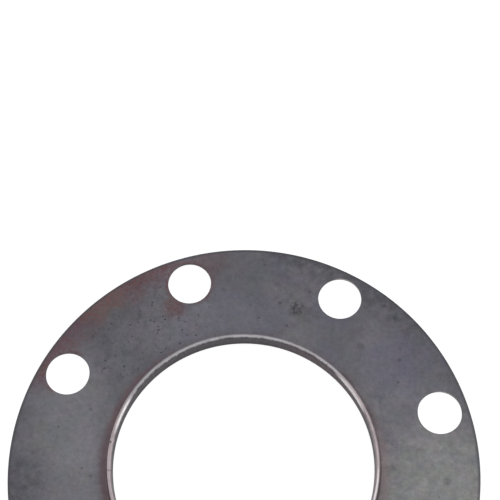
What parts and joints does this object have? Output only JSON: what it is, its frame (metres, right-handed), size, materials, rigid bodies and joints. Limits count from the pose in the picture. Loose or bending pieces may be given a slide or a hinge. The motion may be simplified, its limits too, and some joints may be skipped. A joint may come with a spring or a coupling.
{
  "type": "pressed ring flange",
  "caption": "Thin flat ring flange with bolt holes and a short collar drawn up round a large open bore.",
  "frame": {"origin": "centre of the flat underside, which is the sealing face, on the bore axis", "axes": "+Z along the bore axis, from the sealing face towards the collar's end; X and Y pass midway between bolt holes"},
  "size_m": [0.2, 0.2, 0.011],
  "materials": {
    "scaled_steel": "bare hot-rolled sheet, dull dark grey, mottled, with small dark pits and thin rust stains",
    "drawn_steel": "bare drawn sheet, dull dark wall, brown tint at the bend, bright trimmed end"
  },
  "bodies": {
    "root": {"flange_plate": "scaled_steel", "bend_ring": "drawn_steel", "collar_wall": "drawn_steel"}
  },
  "joints": []
}
